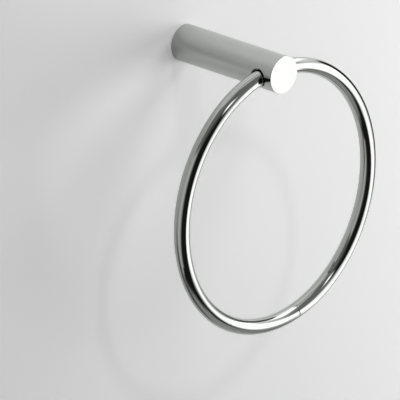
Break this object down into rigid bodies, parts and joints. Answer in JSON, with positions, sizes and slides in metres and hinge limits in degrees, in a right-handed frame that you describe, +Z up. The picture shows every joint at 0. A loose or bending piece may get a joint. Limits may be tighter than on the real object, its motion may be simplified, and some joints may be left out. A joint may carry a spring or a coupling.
{
  "type": "towel ring",
  "caption": "Round chrome post that stands out from a wall, with a loose hanging ring through a cross bore near its front, for a hand towel.",
  "frame": {"origin": "middle of the post's wall face, on the post's axis", "axes": "+Z up, +Y into the wall, so the post stands out along -Y; X across, along the bore that the ring hangs in"},
  "size_m": [0.178, 0.085, 0.1856],
  "materials": {
    "post_chrome": "bright chrome plate on turned bar",
    "ring_chrome": "bright chrome plate on bent tube",
    "dowel_brass": "drawn rod",
    "boss_brass": "as turned",
    "screw_steel": "plain stainless"
  },
  "bodies": {
    "post_body": {"post": "post_chrome", "wall_boss": "boss_brass", "grub_screw": "screw_steel"},
    "ring_body": {"ring": "ring_chrome", "ring_dowel": "dowel_brass"}
  },
  "joints": [
    {"name": "ring_swing", "type": "hinge", "parent": "post_body", "child": "ring_body", "pos_m": [0, -0.074, -0.001], "axis": [-1, 0, 0], "range_deg": [-24, 204]}
  ]
}
